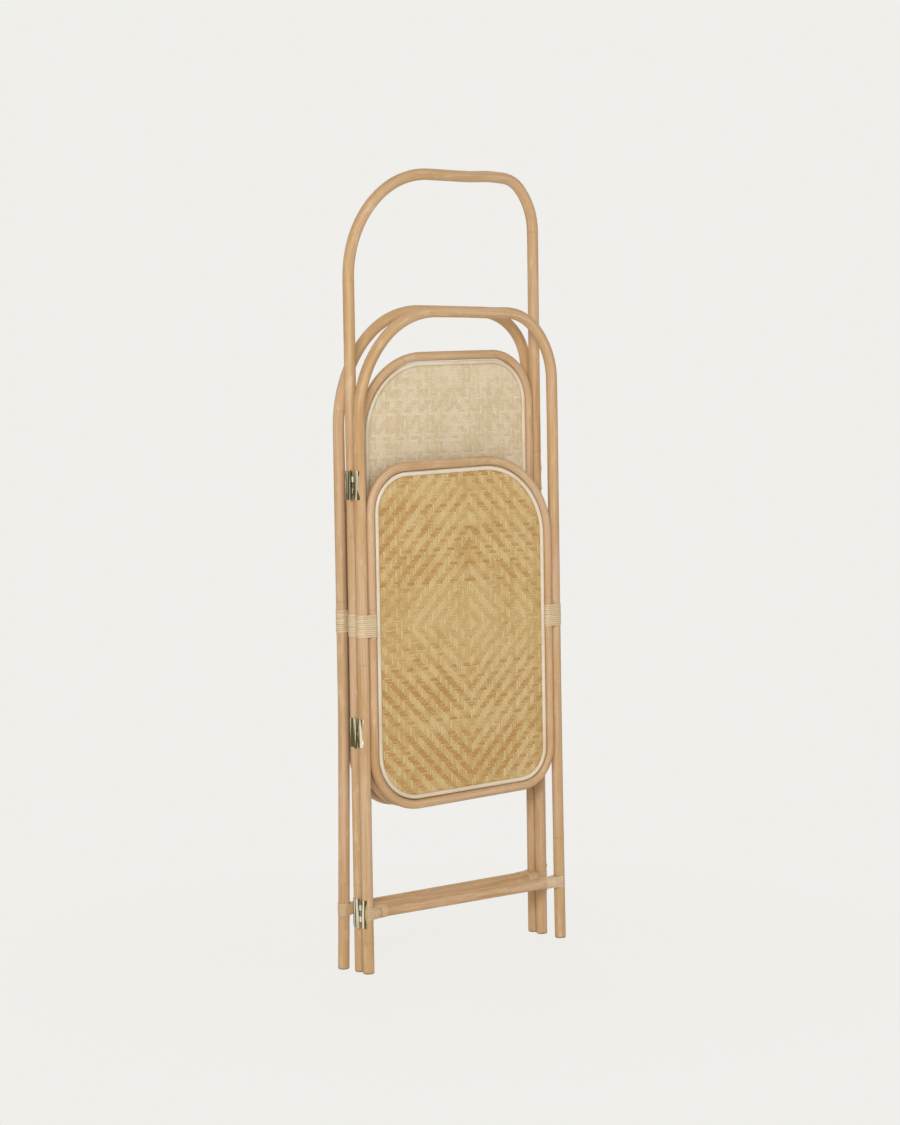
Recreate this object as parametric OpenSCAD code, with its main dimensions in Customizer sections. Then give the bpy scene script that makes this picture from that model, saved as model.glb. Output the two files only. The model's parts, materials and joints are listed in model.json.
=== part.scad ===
// Folding room divider screen: three bent rattan frames with woven cane panels,
// a tall middle panel between two short ones, hinged into a Z.

/* [Panels] */
// Distance between the two legs of a panel, centre to centre
panel_w = 550; // [480:1:620]
// Height of the middle panel
tall_h = 1800; // [1700:1:1950]
// Height of the front and the back panel
short_h = 1489; // [1440:1:1580]
// Diameter of the bent poles and of the crossbars
pole_d = 26; // [22:0.5:30]
// Bevel round the sawn foot of each leg
foot_bevel = 1.5; // [0.5:0.1:3]
// Height of the crossbars above the floor, to the centre
crossbar_z = 135; // [110:1:170]

/* [Arch bends: leg side, then crown side] */
// Middle panel, left bend next to the leg
middle_left_leg_bend = 240; // [180:1:260]
// Middle panel, left bend next to the crown
middle_left_crown_bend = 234; // [150:1:240]
// Middle panel, right bend next to the leg
middle_right_leg_bend = 137; // [110:1:190]
// Middle panel, right bend next to the crown
middle_right_crown_bend = 72; // [45:1:110]
// Front panel, left bend next to the leg
front_left_leg_bend = 258; // [180:1:270]
// Front panel, left bend next to the crown
front_left_crown_bend = 199; // [150:1:210]
// Front panel, right bend next to the leg
front_right_leg_bend = 168; // [130:1:190]
// Front panel, right bend next to the crown
front_right_crown_bend = 124; // [90:1:150]
// Back panel, left bend next to the leg
back_left_leg_bend = 279; // [200:1:280]
// Back panel, left bend next to the crown
back_left_crown_bend = 211; // [150:1:220]
// Back panel, right bend next to the leg
back_right_leg_bend = 121; // [100:1:160]
// Back panel, right bend next to the crown
back_right_crown_bend = 139; // [90:1:160]

/* [Hoops] */
// Diameter of the hoop rod inside each frame
hoop_d = 21; // [16:0.5:22]
// Height of the underside of the hoops
hoop_low_z = 359; // [330:1:400]
// Height of the top of the middle hoop
tall_hoop_z = 1387; // [1300:1:1450]
// Height of the top of the front and the back hoop
short_hoop_z = 1144; // [1100:1:1200]
// Corner bend at the top left of the middle hoop
middle_hoop_left_bend = 183; // [90:1:190]
// Corner bend at the top right of the middle hoop
middle_hoop_right_bend = 110; // [70:1:160]
// Corner bend at the top left of the front and the back hoop
short_hoop_left_bend = 101; // [70:1:160]
// Corner bend at the top right of the front and the back hoop
short_hoop_right_bend = 178; // [90:1:185]
// Corner bend at the bottom left of every hoop
hoop_low_left_bend = 120; // [70:1:130]
// Corner bend at the bottom right of every hoop
hoop_low_right_bend = 85; // [70:1:120]

/* [Woven panels] */
// Thickness of the woven sheet between its raised ribs
sheet_t = 1.8; // [1.2:0.1:3]
// How far the herringbone ribs stand out of the sheet
rib_h = 0.5; // [0.3:0.1:1]
// Height of one herringbone rib, measured upright
rib_w = 20; // [6:1:24]
// Distance from one rib to the next, measured upright
rib_pitch = 40; // [30:1:60]
// Slope of the ribs, in degrees from level
rib_slope = 45; // [30:1:60]
// Sideways place of the point where the ribs change direction
weave_x = 24; // [-60:1:60]
// Height of the level where the ribs change direction
weave_z = 765; // [700:1:830]
// Width of the half-round bead that holds the sheet
bead_w = 10; // [7:0.5:12]

/* [Cane lashings] */
// Width of one turn of binding cane
cane_w = 4.6; // [3.5:0.1:6]
// Thickness of the binding cane
cane_t = 1.1; // [0.8:0.1:1.4]
// Height of the lashings that tie each hoop to its legs
lashing_z = 770; // [700:1:850]
// Turns in each of those lashings
lashing_turns = 11; // [8:1:14]
// Turns round the leg at each end of a crossbar
band_turns = 6; // [4:1:7]
// Turns round the crossbar at each of its ends
sleeve_turns = 7; // [5:1:9]

/* [Hinges] */
// Height of the middle hinge on each side, to its centre
middle_hinge_z = 541; // [480:1:620]
// Height of the top hinge on each side, to its centre
top_hinge_z = 1092; // [1000:1:1130]
// Length of a hinge leaf
leaf_h = 64; // [56:1:76]
// Thickness of a hinge leaf
leaf_t = 1.2; // [0.8:0.1:1.5]
// How far a leaf wraps round its leg, each way from its middle, in degrees
leaf_wrap = 50; // [48:1:60]
// How deep the free edge of a leaf is hollowed
leaf_hollow = 4; // [2:0.5:5]
// Outer diameter of the knuckles
knuckle_d = 6; // [5.4:0.1:7]
// Diameter of the hinge pins
pin_d = 3; // [2:0.1:3.6]
// Diameter of the hinge screws
screw_d = 3; // [2.4:0.1:3.4]
// Distance from the middle of a leaf to each of its screws
screw_spread = 22; // [18:1:24]

/* [Fold] */
// How far the front panel stands open, in degrees
front_open = 3.4; // [0:0.1:10]
// How far the back panel stands open, in degrees
back_open = 1.7; // [0:0.1:10]
// Room left between the lashings of two panels folded flat
fold_clearance = 0.6; // [0.5:0.1:3]
// Room left between two leaves when a panel is opened out flat
leaf_clearance = 1.6; // [1:0.1:3]

/* [Hidden] */
$fn = 48;
sweep_fn = 96;
seat = 0.1;              // gap where one piece seats on another of its own panel
pin_fit = 0.05;          // running clearance round the hinge pins
knuckle_gap = 0.3;       // end play between two knuckles
knuckles = 5;
bend_split = 45;         // each arch bend is two arcs that meet here, in degrees
cope_depth = 5;          // how far a crossbar end runs into the round of the leg
groove = 0.4;            // depth and half width of the groove between two turns of cane
belt_lap = 0.3;          // how far the flat sides of a lashing start inside its rounds
sleeve_start = 15;       // from the leg's centre to the first turn on the crossbar
pin_head_d = pin_d + 1.8;
pin_head_h = 1.2;
screw_head_d = screw_d + 1.8;
screw_dome = 0.3;
screw_angle = 18;        // the screws sit past the middle of the leaf, away from the knuckles
screw_depth = 11;
screw_play = 0.1;
joint_screw_d = 3.4;     // long screws through the legs, under the lashings
joint_head_d = 6.4;
joint_head_h = 2.4;
joint_sink = 0.6;        // the joint screws' heads lie this far below the leg's surface
crossbar_bite = 28;      // how far the joint screws reach into the crossbars and the hoops
hoop_bite = 13;

pole_r = pole_d / 2;
hoop_r = hoop_d / 2;
pin_r = pin_d / 2;
knuckle_r = knuckle_d / 2;
hoop_forward = pole_r - hoop_r;                      // the hoops are flush with the front of the legs
hoop_x = panel_w / 2 - sqrt(pow(pole_r + hoop_r + seat, 2) - pow(hoop_forward, 2));
panel_pitch = pole_d + 2 * (cane_t + seat) + fold_clearance;
bead_gap = cane_t + 3 * seat;                        // the lashings pass between hoop and bead
hinge_out = pole_r + seat + leaf_t + leaf_clearance / 2;   // hinge axis, outwards from the legs' centres
hinge_x = panel_w / 2 + hinge_out;
hinge_radius = norm([hinge_out, panel_pitch / 2]);
hinge_angle = atan2(panel_pitch / 2, hinge_out);
knuckle_h = (leaf_h - (knuckles - 1) * knuckle_gap) / knuckles;
leaf_r = pole_r + seat;
hinge_heights = [crossbar_z, middle_hinge_z, top_hinge_z];
hinge_places = ["low", "middle", "top"];

// The middle panel is set so that the whole screen is centred on the origin
front_reach = panel_pitch * 1.5 + (panel_w + hinge_out) * sin(front_open);
back_reach = panel_pitch * 1.5 + (panel_w + hinge_out) * sin(back_open);
middle_y = (front_reach - back_reach) / 2;

// Panels by number: 0 middle, 1 front, 2 back
panels = ["middle", "front", "back"];
panel_h = [tall_h, short_h, short_h];
left_bends = [[middle_left_leg_bend, middle_left_crown_bend],
              [front_left_leg_bend, front_left_crown_bend],
              [back_left_leg_bend, back_left_crown_bend]];
right_bends = [[middle_right_leg_bend, middle_right_crown_bend],
               [front_right_leg_bend, front_right_crown_bend],
               [back_right_leg_bend, back_right_crown_bend]];
hoop_top_z = [tall_hoop_z, short_hoop_z, short_hoop_z];
// Corner bends of each hoop: top left, top right, bottom right, bottom left
low_bends = [hoop_low_right_bend, hoop_low_left_bend];
hoop_bends = [concat([middle_hoop_left_bend, middle_hoop_right_bend], low_bends),
              concat([short_hoop_left_bend, short_hoop_right_bend], low_bends),
              concat([short_hoop_left_bend, short_hoop_right_bend], low_bends)];
// Hinged legs of each panel: [side, the way to the neighbour], left and front are -1
hinged_legs = [[[-1, -1], [1, 1]], [[-1, 1]], [[1, -1]]];
sides = ["left", "right"];

panel_pieces = ["frame_pole", "hoop", "woven_sheet", "front_bead", "back_bead", "crossbar",
                "left_lashing", "right_lashing", "left_binding", "right_binding", "joint_screws"];
hinge_pieces = ["fixed_leaf", "moving_leaf", "pin"];
NODES = concat(
    [for (p = panels) for (piece = panel_pieces) str(p, "_", piece)],
    [for (p = [panels[1], panels[2]]) for (at = hinge_places) for (piece = hinge_pieces)
        str(p, "_", at, "_hinge_", piece)],
    [for (p = [panels[1], panels[2]]) for (leaf = ["fixed", "moving"])
        str(p, "_hinge_", leaf, "_screws")]);
node = "all";

pole_colour = [0.85, 0.70, 0.53];
hoop_colour = [0.84, 0.68, 0.50];
weave_colour = [0.82, 0.68, 0.42];
bead_colour = [0.91, 0.85, 0.74];
cane_colour = [0.89, 0.80, 0.64];
brass_colour = [0.79, 0.74, 0.55];
screw_colour = [0.72, 0.66, 0.47];

function is_node(name) = node == "all" || node == name;

// ---- Bent rods ----

// How far a two-arc bend reaches sideways and upwards
function bend_reach(b) = b[0] * (1 - cos(bend_split)) + b[1] * cos(bend_split);
function bend_rise(b) = b[0] * sin(bend_split) + b[1] * (1 - sin(bend_split));

// Carries the profile along a list of runs, each [straight length, bend radius, bend angle].
// It starts upwards from the origin and bends towards +X, and the profile's +X is the inside.
module bent_rod(runs, i = 0) {
    straight = runs[i][0];
    radius = runs[i][1];
    angle = runs[i][2];
    if (straight > 0) linear_extrude(straight) children();
    if (angle > 0) translate([radius, 0, straight]) {
        rotate([90, 0, 0]) rotate([0, 0, 180 - angle])
            rotate_extrude(angle = angle, $fn = sweep_fn)
                translate([radius, 0]) rotate(180) children();
        if (i + 1 < len(runs)) rotate([0, angle, 0]) translate([-radius, 0, 0])
            bent_rod(runs, i + 1) children();
    }
}

// A closed loop with round corners, at an inset from the hoop's centre line
module hoop_loop(p, inset) {
    w = 2 * (hoop_x - inset);
    low = hoop_low_z + hoop_r + inset;
    h = hoop_top_z[p] - hoop_r - inset - low;
    bends = [for (bend = hoop_bends[p]) bend - inset];
    translate([-w / 2, 0, low + h / 2])
        bent_rod([[h / 2 - bends[0], bends[0], 90], [w - bends[0] - bends[1], bends[1], 90],
                  [h - bends[1] - bends[2], bends[2], 90], [w - bends[2] - bends[3], bends[3], 90],
                  [h / 2 - bends[3], 0, 0]]) children();
}

// The flat outline inside that loop
module hoop_outline(p, inset) {
    w = 2 * (hoop_x - inset);
    low = hoop_low_z + hoop_r + inset;
    top = hoop_top_z[p] - hoop_r - inset;
    difference() {
        translate([-w / 2, low]) square([w, top - low]);
        for (i = [0 : 3]) {
            side = i == 1 || i == 2 ? 1 : -1;
            up = i < 2 ? 1 : -1;
            bend = hoop_bends[p][i] - inset;
            translate([side * (w / 2 - bend), (up > 0 ? top : low) - up * bend])
                scale([side, up]) difference() {
                    square(bend + 1);
                    circle(bend, $fn = sweep_fn);
                }
        }
    }
}

// ---- Wound cane ----

// Section of a band of cane turns, laid from x = 0 outwards to -X
module turns_section(turns) {
    polygon(concat(
        [for (i = [0 : turns - 1]) each [[groove - cane_t, i * cane_w],
                                         [-cane_t, i * cane_w + groove],
                                         [-cane_t, (i + 1) * cane_w - groove]]],
        [[groove - cane_t, turns * cane_w], [0, turns * cane_w], [0, 0]]));
}

// The same band laid flat, so that it runs round things that stand upright
module level_band(runs, turns) {
    rotate([-90, 0, 0]) bent_rod(runs)
        translate([0, -turns * cane_w / 2]) turns_section(turns);
}

// ---- One panel, seen from its own foot centre ----

module at_leg(side) {
    translate([side * panel_w / 2, 0, 0]) mirror([side > 0 ? 1 : 0, 0, 0]) children();
}

// At the left leg the knuckles lie outwards and to the front; other legs are mirror images
module at_hinged_leg(leg) {
    at_leg(leg[0]) mirror([0, leg[1] > 0 ? 1 : 0, 0]) children();
}

module leaf_screw_places() {
    for (z = hinge_heights) for (s = [-1, 1])
        translate([0, 0, z + s * screw_spread]) rotate([0, 0, 180 - screw_angle])
            rotate([0, 90, 0]) children();
}

// A long screw or its hole, from outside the leg inwards along +X
module joint_screw(bite, play) {
    head = -pole_r + joint_sink;
    translate([head, 0, 0]) rotate([0, 90, 0]) {
        cylinder(d = joint_screw_d + 2 * play, h = pole_r + bite - head);
        cylinder(d = joint_head_d + 2 * play, h = joint_head_h);
        if (play > 0) translate([0, 0, -joint_sink - 1])
            cylinder(d = joint_head_d + 2 * play, h = joint_sink + 2);
    }
}

module joint_screw_places(play) {
    for (side = [-1, 1]) at_leg(side) {
        translate([0, 0, crossbar_z]) joint_screw(crossbar_bite, play);
        translate([0, 0, lashing_z]) joint_screw(hoop_bite, play);
    }
}

module frame_pole(p) color(pole_colour) {
    left = left_bends[p];
    right = right_bends[p];
    crown = panel_h[p] - pole_r;
    difference() {
        translate([-panel_w / 2, 0, 0])
            bent_rod([[crown - bend_rise(left), left[0], bend_split],
                      [0, left[1], bend_split],
                      [panel_w - bend_reach(left) - bend_reach(right), right[1], bend_split],
                      [0, right[0], bend_split],
                      [crown - bend_rise(right), 0, 0]])
                circle(pole_r);
        for (side = [-1, 1]) at_leg(side) rotate_extrude()
            polygon([[pole_r - foot_bevel - 1, -1], [pole_r + 1, -1],
                     [pole_r + 1, foot_bevel + 1]]);
        joint_screw_places(screw_play);
        for (leg = hinged_legs[p]) at_hinged_leg(leg) leaf_screw_places()
            translate([0, 0, pole_r - screw_depth - screw_play])
                cylinder(d = screw_d + 2 * screw_play, h = screw_depth + 1);
    }
}

module hoop(p) color(hoop_colour) difference() {
    translate([0, -hoop_forward, 0]) hoop_loop(p, 0) circle(hoop_r);
    joint_screw_places(screw_play);
}

module crossbar(p) color(pole_colour) difference() {
    translate([-panel_w / 2 + pole_r - cope_depth, 0, crossbar_z]) rotate([0, 90, 0])
        cylinder(r = pole_r, h = panel_w - 2 * (pole_r - cope_depth));
    for (side = [-1, 1]) translate([side * panel_w / 2, 0, crossbar_z - pole_d])
        cylinder(r = pole_r + seat, h = 2 * pole_d);
    joint_screw_places(screw_play);
}

// Twill ribs round the middle of the weave: rising to it from below and falling from it above
module herringbone(p) {
    inset = hoop_r + bead_gap + bead_w + seat;
    low = hoop_low_z + hoop_r + inset;
    top = hoop_top_z[p] - hoop_r - inset;
    reach = max(top - weave_z, weave_z - low) + (hoop_x + abs(weave_x)) * tan(rib_slope);
    intersection() {
        hoop_outline(p, inset);
        translate([weave_x, weave_z]) for (up = [0 : rib_pitch : reach]) difference() {
            diamond(up + rib_w);
            diamond(up);
        }
    }
}

module diamond(up) {
    out = up / tan(rib_slope);
    if (up > 0) polygon([[out, 0], [0, up], [-out, 0], [0, -up]]);
}

module woven_sheet(p) color(weave_colour) translate([0, -hoop_forward, 0]) rotate([90, 0, 0]) {
    notch_x = hoop_x - hoop_r - cane_t - 2 * seat;
    notch_h = lashing_turns * cane_w + 4 * seat;
    translate([0, 0, -sheet_t / 2]) linear_extrude(sheet_t) difference() {
        hoop_outline(p, hoop_r + seat);
        for (side = [0, 1]) mirror([side, 0]) translate([notch_x, lashing_z - notch_h / 2])
            square([hoop_r, notch_h]);
    }
    translate([0, 0, -sheet_t / 2 - rib_h]) linear_extrude(sheet_t + 2 * rib_h) herringbone(p);
}

// Half-round bead on one face of the sheet: -1 is the front
module bead(p, face) color(bead_colour)
    translate([0, -hoop_forward + face * (sheet_t / 2 + seat), 0])
        hoop_loop(p, hoop_r + bead_gap + bead_w / 2)
            intersection() {
                circle(bead_w / 2);
                translate([-bead_w, face > 0 ? 0 : -bead_w]) square([2 * bead_w, bead_w]);
            }

// Cane wound round the leg and the hoop together
module side_lashing(side) color(cane_colour) {
    high = lashing_turns * cane_w;
    at_leg(side) translate([0, 0, lashing_z - high / 2]) difference() {
        belt(seat + cane_t, 0, high);
        belt(seat, -1, high + 1);
        for (i = [1 : lashing_turns - 1]) difference() {
            translate([-pole_d, -pole_d, i * cane_w - groove]) cube([3 * pole_d, 2 * pole_d, 2 * groove]);
            belt(seat + cane_t - groove, 0, high);
        }
    }
}

// A solid round a leg and the hoop rod beside it, at the same gap from both
module belt(gap, from, to) {
    to_hoop = [panel_w / 2 - hoop_x, -hoop_forward];
    tilt = atan2(to_hoop[1], to_hoop[0]);
    wrap = acos((pole_r - hoop_r) / norm(to_hoop));
    function edge(r, a) = (r + gap - belt_lap) * [cos(a), sin(a)];
    translate([0, 0, from]) {
        cylinder(r = pole_r + gap, h = to - from);
        translate(to_hoop) cylinder(r = hoop_r + gap, h = to - from);
        linear_extrude(to - from)
            polygon([edge(pole_r, tilt + wrap), to_hoop + edge(hoop_r, tilt + wrap),
                     to_hoop + edge(hoop_r, tilt - wrap), edge(pole_r, tilt - wrap)]);
    }
}

// Cane wound round the end of the crossbar and back round the leg
module crossbar_binding(p, side) color(cane_colour) at_leg(side) {
    leg_r = pole_r + seat;
    tail = sleeve_start + sleeve_turns * cane_w / 2;
    hinged = len([for (leg = hinged_legs[p]) if (leg[0] == side) 1]) > 0;
    translate([0, 0, crossbar_z]) {
        difference() {
            translate([tail, -leg_r, 0]) rotate([0, 0, 90])
                level_band([[tail, leg_r, 180], [tail, 0, 0]], band_turns);
            if (hinged) translate([-2 * pole_d - leg_r * cos(leaf_wrap + 5), -pole_d, -leaf_h / 2])
                cube([2 * pole_d, 2 * pole_d, leaf_h]);
        }
        translate([sleeve_start, 0, 0]) rotate([0, 90, 0]) rotate_extrude()
            translate([pole_r + seat / 2, 0]) mirror([1, 0]) turns_section(sleeve_turns);
    }
}

module joint_screws() color(screw_colour) joint_screw_places(0);

// ---- Hinges ----

module knuckle_places(first) {
    for (i = [first : 2 : knuckles - 1])
        translate([0, 0, -leaf_h / 2 + i * (knuckle_h + knuckle_gap)]) children();
}

// A leaf curved round its leg; first is its lowest knuckle, 0 or 1
module hinge_leaf(first) color(brass_colour) {
    hollow_r = (pow(leaf_h / 2 * 0.8, 2) + pow(leaf_hollow, 2)) / (2 * leaf_hollow);
    free_edge = (leaf_r + leaf_t / 2) * sin(leaf_wrap);
    difference() {
        union() {
            translate([0, 0, -leaf_h / 2]) rotate([0, 0, 180 - leaf_wrap])
                rotate_extrude(angle = 2 * leaf_wrap, $fn = sweep_fn)
                    translate([leaf_r, 0]) square([leaf_t, leaf_h]);
            rotate([0, 0, 180 + hinge_angle]) knuckle_places(first) {
                translate([leaf_r + leaf_t / 2, -leaf_t / 2, 0])
                    cube([hinge_radius - leaf_r - leaf_t / 2, leaf_t, knuckle_h]);
                translate([hinge_radius, 0, 0]) cylinder(r = knuckle_r, h = knuckle_h);
            }
        }
        rotate([0, 0, 180 + hinge_angle]) translate([hinge_radius, 0, -leaf_h])
            cylinder(r = pin_r + pin_fit, h = 2 * leaf_h);
        translate([-2 * pole_d, free_edge - leaf_hollow + hollow_r, 0]) rotate([0, 90, 0])
            cylinder(r = hollow_r, h = 2 * pole_d, $fn = sweep_fn);
        for (s = [-1, 1]) translate([0, 0, s * screw_spread]) rotate([0, 0, 180 - screw_angle])
            rotate([0, 90, 0]) translate([0, 0, leaf_r - 1])
                cylinder(d1 = screw_d + 2 * screw_play - (screw_head_d - screw_d) / leaf_t,
                         d2 = screw_head_d + 2 * screw_play + (screw_head_d - screw_d) / leaf_t,
                         h = leaf_t + 2);
    }
}

module hinge_pin() color(brass_colour) {
    shank = leaf_h + 2 * knuckle_gap;
    rotate([0, 0, 180 + hinge_angle]) translate([hinge_radius, 0, -shank / 2]) {
        cylinder(r = pin_r, h = shank);
        for (z = [-pin_head_h, shank]) translate([0, 0, z]) cylinder(d = pin_head_d, h = pin_head_h);
    }
}

module leaf_screws() color(screw_colour) leaf_screw_places() {
    translate([0, 0, pole_r - screw_depth]) cylinder(d = screw_d, h = screw_depth + seat);
    translate([0, 0, leaf_r]) cylinder(d1 = screw_d, d2 = screw_head_d, h = leaf_t);
    translate([0, 0, leaf_r + leaf_t]) cylinder(d = screw_head_d, h = screw_dome);
}

// ---- Assembly ----

module place_panel(p) {
    if (p == 0) translate([0, middle_y, 0]) children();
    if (p == 1) translate([-hinge_x, middle_y - panel_pitch / 2, 0])
        rotate([0, 0, -front_open]) translate([hinge_x, -panel_pitch / 2, 0]) children();
    if (p == 2) translate([hinge_x, middle_y + panel_pitch / 2, 0])
        rotate([0, 0, -back_open]) translate([-hinge_x, panel_pitch / 2, 0]) children();
}

for (p = [0 : 2]) place_panel(p) {
    if (is_node(str(panels[p], "_frame_pole"))) frame_pole(p);
    if (is_node(str(panels[p], "_hoop"))) hoop(p);
    if (is_node(str(panels[p], "_woven_sheet"))) woven_sheet(p);
    if (is_node(str(panels[p], "_front_bead"))) bead(p, -1);
    if (is_node(str(panels[p], "_back_bead"))) bead(p, 1);
    if (is_node(str(panels[p], "_crossbar"))) crossbar(p);
    for (s = [0, 1]) {
        if (is_node(str(panels[p], "_", sides[s], "_lashing"))) side_lashing(2 * s - 1);
        if (is_node(str(panels[p], "_", sides[s], "_binding"))) crossbar_binding(p, 2 * s - 1);
    }
    if (is_node(str(panels[p], "_joint_screws"))) joint_screws();
}

for (p = [1, 2]) {
    fixed_leg = hinged_legs[0][p - 1];
    moving_leg = hinged_legs[p][0];
    for (i = [0 : 2]) {
        name = str(panels[p], "_", hinge_places[i], "_hinge_");
        if (is_node(str(name, "fixed_leaf"))) place_panel(0) at_hinged_leg(fixed_leg)
            translate([0, 0, hinge_heights[i]]) hinge_leaf(0);
        if (is_node(str(name, "moving_leaf"))) place_panel(p) at_hinged_leg(moving_leg)
            translate([0, 0, hinge_heights[i]]) hinge_leaf(1);
        if (is_node(str(name, "pin"))) place_panel(0) at_hinged_leg(fixed_leg)
            translate([0, 0, hinge_heights[i]]) hinge_pin();
    }
    if (is_node(str(panels[p], "_hinge_fixed_screws"))) place_panel(0) at_hinged_leg(fixed_leg)
        leaf_screws();
    if (is_node(str(panels[p], "_hinge_moving_screws"))) place_panel(p) at_hinged_leg(moving_leg)
        leaf_screws();
}
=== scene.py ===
import json
import math
import random

import bmesh
import bpy
from mathutils import Matrix, Vector


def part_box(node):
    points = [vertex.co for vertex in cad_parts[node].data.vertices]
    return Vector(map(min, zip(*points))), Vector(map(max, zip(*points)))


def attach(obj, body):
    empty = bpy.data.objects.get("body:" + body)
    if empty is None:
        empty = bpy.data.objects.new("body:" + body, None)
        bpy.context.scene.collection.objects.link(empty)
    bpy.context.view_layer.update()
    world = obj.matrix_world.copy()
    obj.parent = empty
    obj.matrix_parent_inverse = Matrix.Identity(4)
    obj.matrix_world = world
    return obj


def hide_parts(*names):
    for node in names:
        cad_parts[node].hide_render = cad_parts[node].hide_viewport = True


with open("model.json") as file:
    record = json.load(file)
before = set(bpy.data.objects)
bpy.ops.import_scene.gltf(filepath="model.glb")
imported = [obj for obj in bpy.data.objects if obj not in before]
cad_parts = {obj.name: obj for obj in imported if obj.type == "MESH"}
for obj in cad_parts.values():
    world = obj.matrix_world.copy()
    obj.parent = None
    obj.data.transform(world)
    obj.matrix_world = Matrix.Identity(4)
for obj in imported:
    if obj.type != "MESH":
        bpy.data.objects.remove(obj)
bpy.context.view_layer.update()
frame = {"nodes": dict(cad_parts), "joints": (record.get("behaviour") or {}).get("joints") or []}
print("frame loaded:", len(frame["nodes"]), "nodes")


def linear(colour):
    # a colour written as 0 to 255 display values, as the shader wants it
    shares = [c / 255 for c in colour]
    return [c / 12.92 if c <= 0.04045 else ((c + 0.055) / 1.055) ** 2.4 for c in shares] + [1]


def boxMiddle(node):
    low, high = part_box(node)
    return (low + high) / 2


def boxSize(node):
    low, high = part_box(node)
    return high - low


# sizes taken from the frame
hinges = {j["name"]: j for j in frame["joints"]}
poleRadius = boxSize("middle_frame_pole").y / 2
legX = boxSize("middle_frame_pole").x / 2 - poleRadius      # each leg, from the middle of its panel
hoopRadius = boxSize("middle_hoop").y / 2
hoopX = boxSize("middle_hoop").x / 2 - hoopRadius
hoopForward = poleRadius - hoopRadius                       # the hoops are flush with the front of the legs
crossbarZ = boxMiddle("middle_crossbar").z
lashingZ = boxMiddle("middle_left_lashing").z
lashingHeight = boxSize("middle_left_lashing").z
middleY = boxMiddle("middle_frame_pole").y
hingeZ = [boxMiddle(f"front_{at}_hinge_fixed_leaf").z for at in ("low", "middle", "top")]
fullTurn = 6.28                                             # the most that a random phase is, in radians


def foldedPlace(joint):
    # where a short panel stands: folded flat against the tall one, then opened a little at its hinges
    x, y = joint["pos_m"][:2]
    opened = Matrix.Rotation(math.radians(joint["range_deg"][0]), 4, "Z")
    return Matrix.Translation((x, y, 0)) @ opened @ Matrix.Translation((-x, y - middleY, 0))


# metres and degrees. Each shoulder of a pole has two bends, from the leg to the crown, and a hoop has four,
# from its top left round to its bottom left. A lift moves a lashing up, a crown wave has its place, width and
# height, a splay is how far a foot leans out, and the bands of a binding are cut short beside the hinges,
# tucked in where they meet the leg, or whole.
panels = {
    "middle": {"place": Matrix.Translation((0, middleY, 0)), "body": "middle_panel",
               "leftBends": (0.240, 0.234), "rightBends": (0.137, 0.072), "slant": 1.0,
               "hoopBends": (0.183, 0.110, 0.085, 0.120), "lift": {"left": 0.009, "right": 0.0},
               "crownWave": (0.14, 0.035, 0.0026), "splay": {}, "bands": {"left": "cut", "right": "cut"},
               "goldenFace": 1},
    "front": {"place": foldedPlace(hinges["front_fold"]), "body": "front_panel",
              "leftBends": (0.258, 0.199), "rightBends": (0.168, 0.124), "slant": 1.6,
              "hoopBends": (0.101, 0.178, 0.085, 0.120), "lift": {"left": 0.009, "right": -0.002},
              "crownWave": (0.12, 0.07, -0.002), "splay": {"right": 0.004},
              "bands": {"left": "cut", "right": "tucked"}, "goldenFace": -1},
    "back": {"place": foldedPlace(hinges["back_fold"]), "body": "back_panel",
             "leftBends": (0.279, 0.211), "rightBends": (0.121, 0.139), "slant": 1.6,
             "hoopBends": (0.101, 0.178, 0.085, 0.120), "lift": {"left": 0.016, "right": 0.003},
             "crownWave": (-0.1, 0.3, 0.0045), "splay": {"left": 0.013},
             "bands": {"left": "whole", "right": "cut"}, "goldenFace": -1},
}

# angles in radians, lens and sensor in millimetres
view = {"place": (-3.672, -4.3435, 1.32145), "turn": 0.7019, "down": 0.0601, "roll": -0.0157,
        "lens": 79.63, "sensor": 36, "shiftY": -0.0293, "farthest": 60}


def makeCamera():
    data = bpy.data.cameras.new("camera")
    data.lens = view["lens"]
    data.sensor_width = view["sensor"]
    data.shift_y = view["shiftY"]
    data.clip_end = view["farthest"]
    camera = bpy.data.objects.new("camera", data)
    bpy.context.scene.collection.objects.link(camera)
    ahead = Vector((math.sin(view["turn"]) * math.cos(view["down"]),
                    math.cos(view["turn"]) * math.cos(view["down"]), -math.sin(view["down"])))
    level = Vector((math.cos(view["turn"]), -math.sin(view["turn"]), 0))
    upright = level.cross(ahead)
    right = math.cos(view["roll"]) * level + math.sin(view["roll"]) * upright
    up = math.cos(view["roll"]) * upright - math.sin(view["roll"]) * level
    turned = Matrix((right, up, -ahead)).transposed().to_4x4()
    camera.matrix_world = Matrix.Translation(view["place"]) @ turned
    bpy.context.scene.camera = camera


makeCamera()
bpy.context.scene.view_settings.view_transform = "Standard"
print("camera placed")


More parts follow.
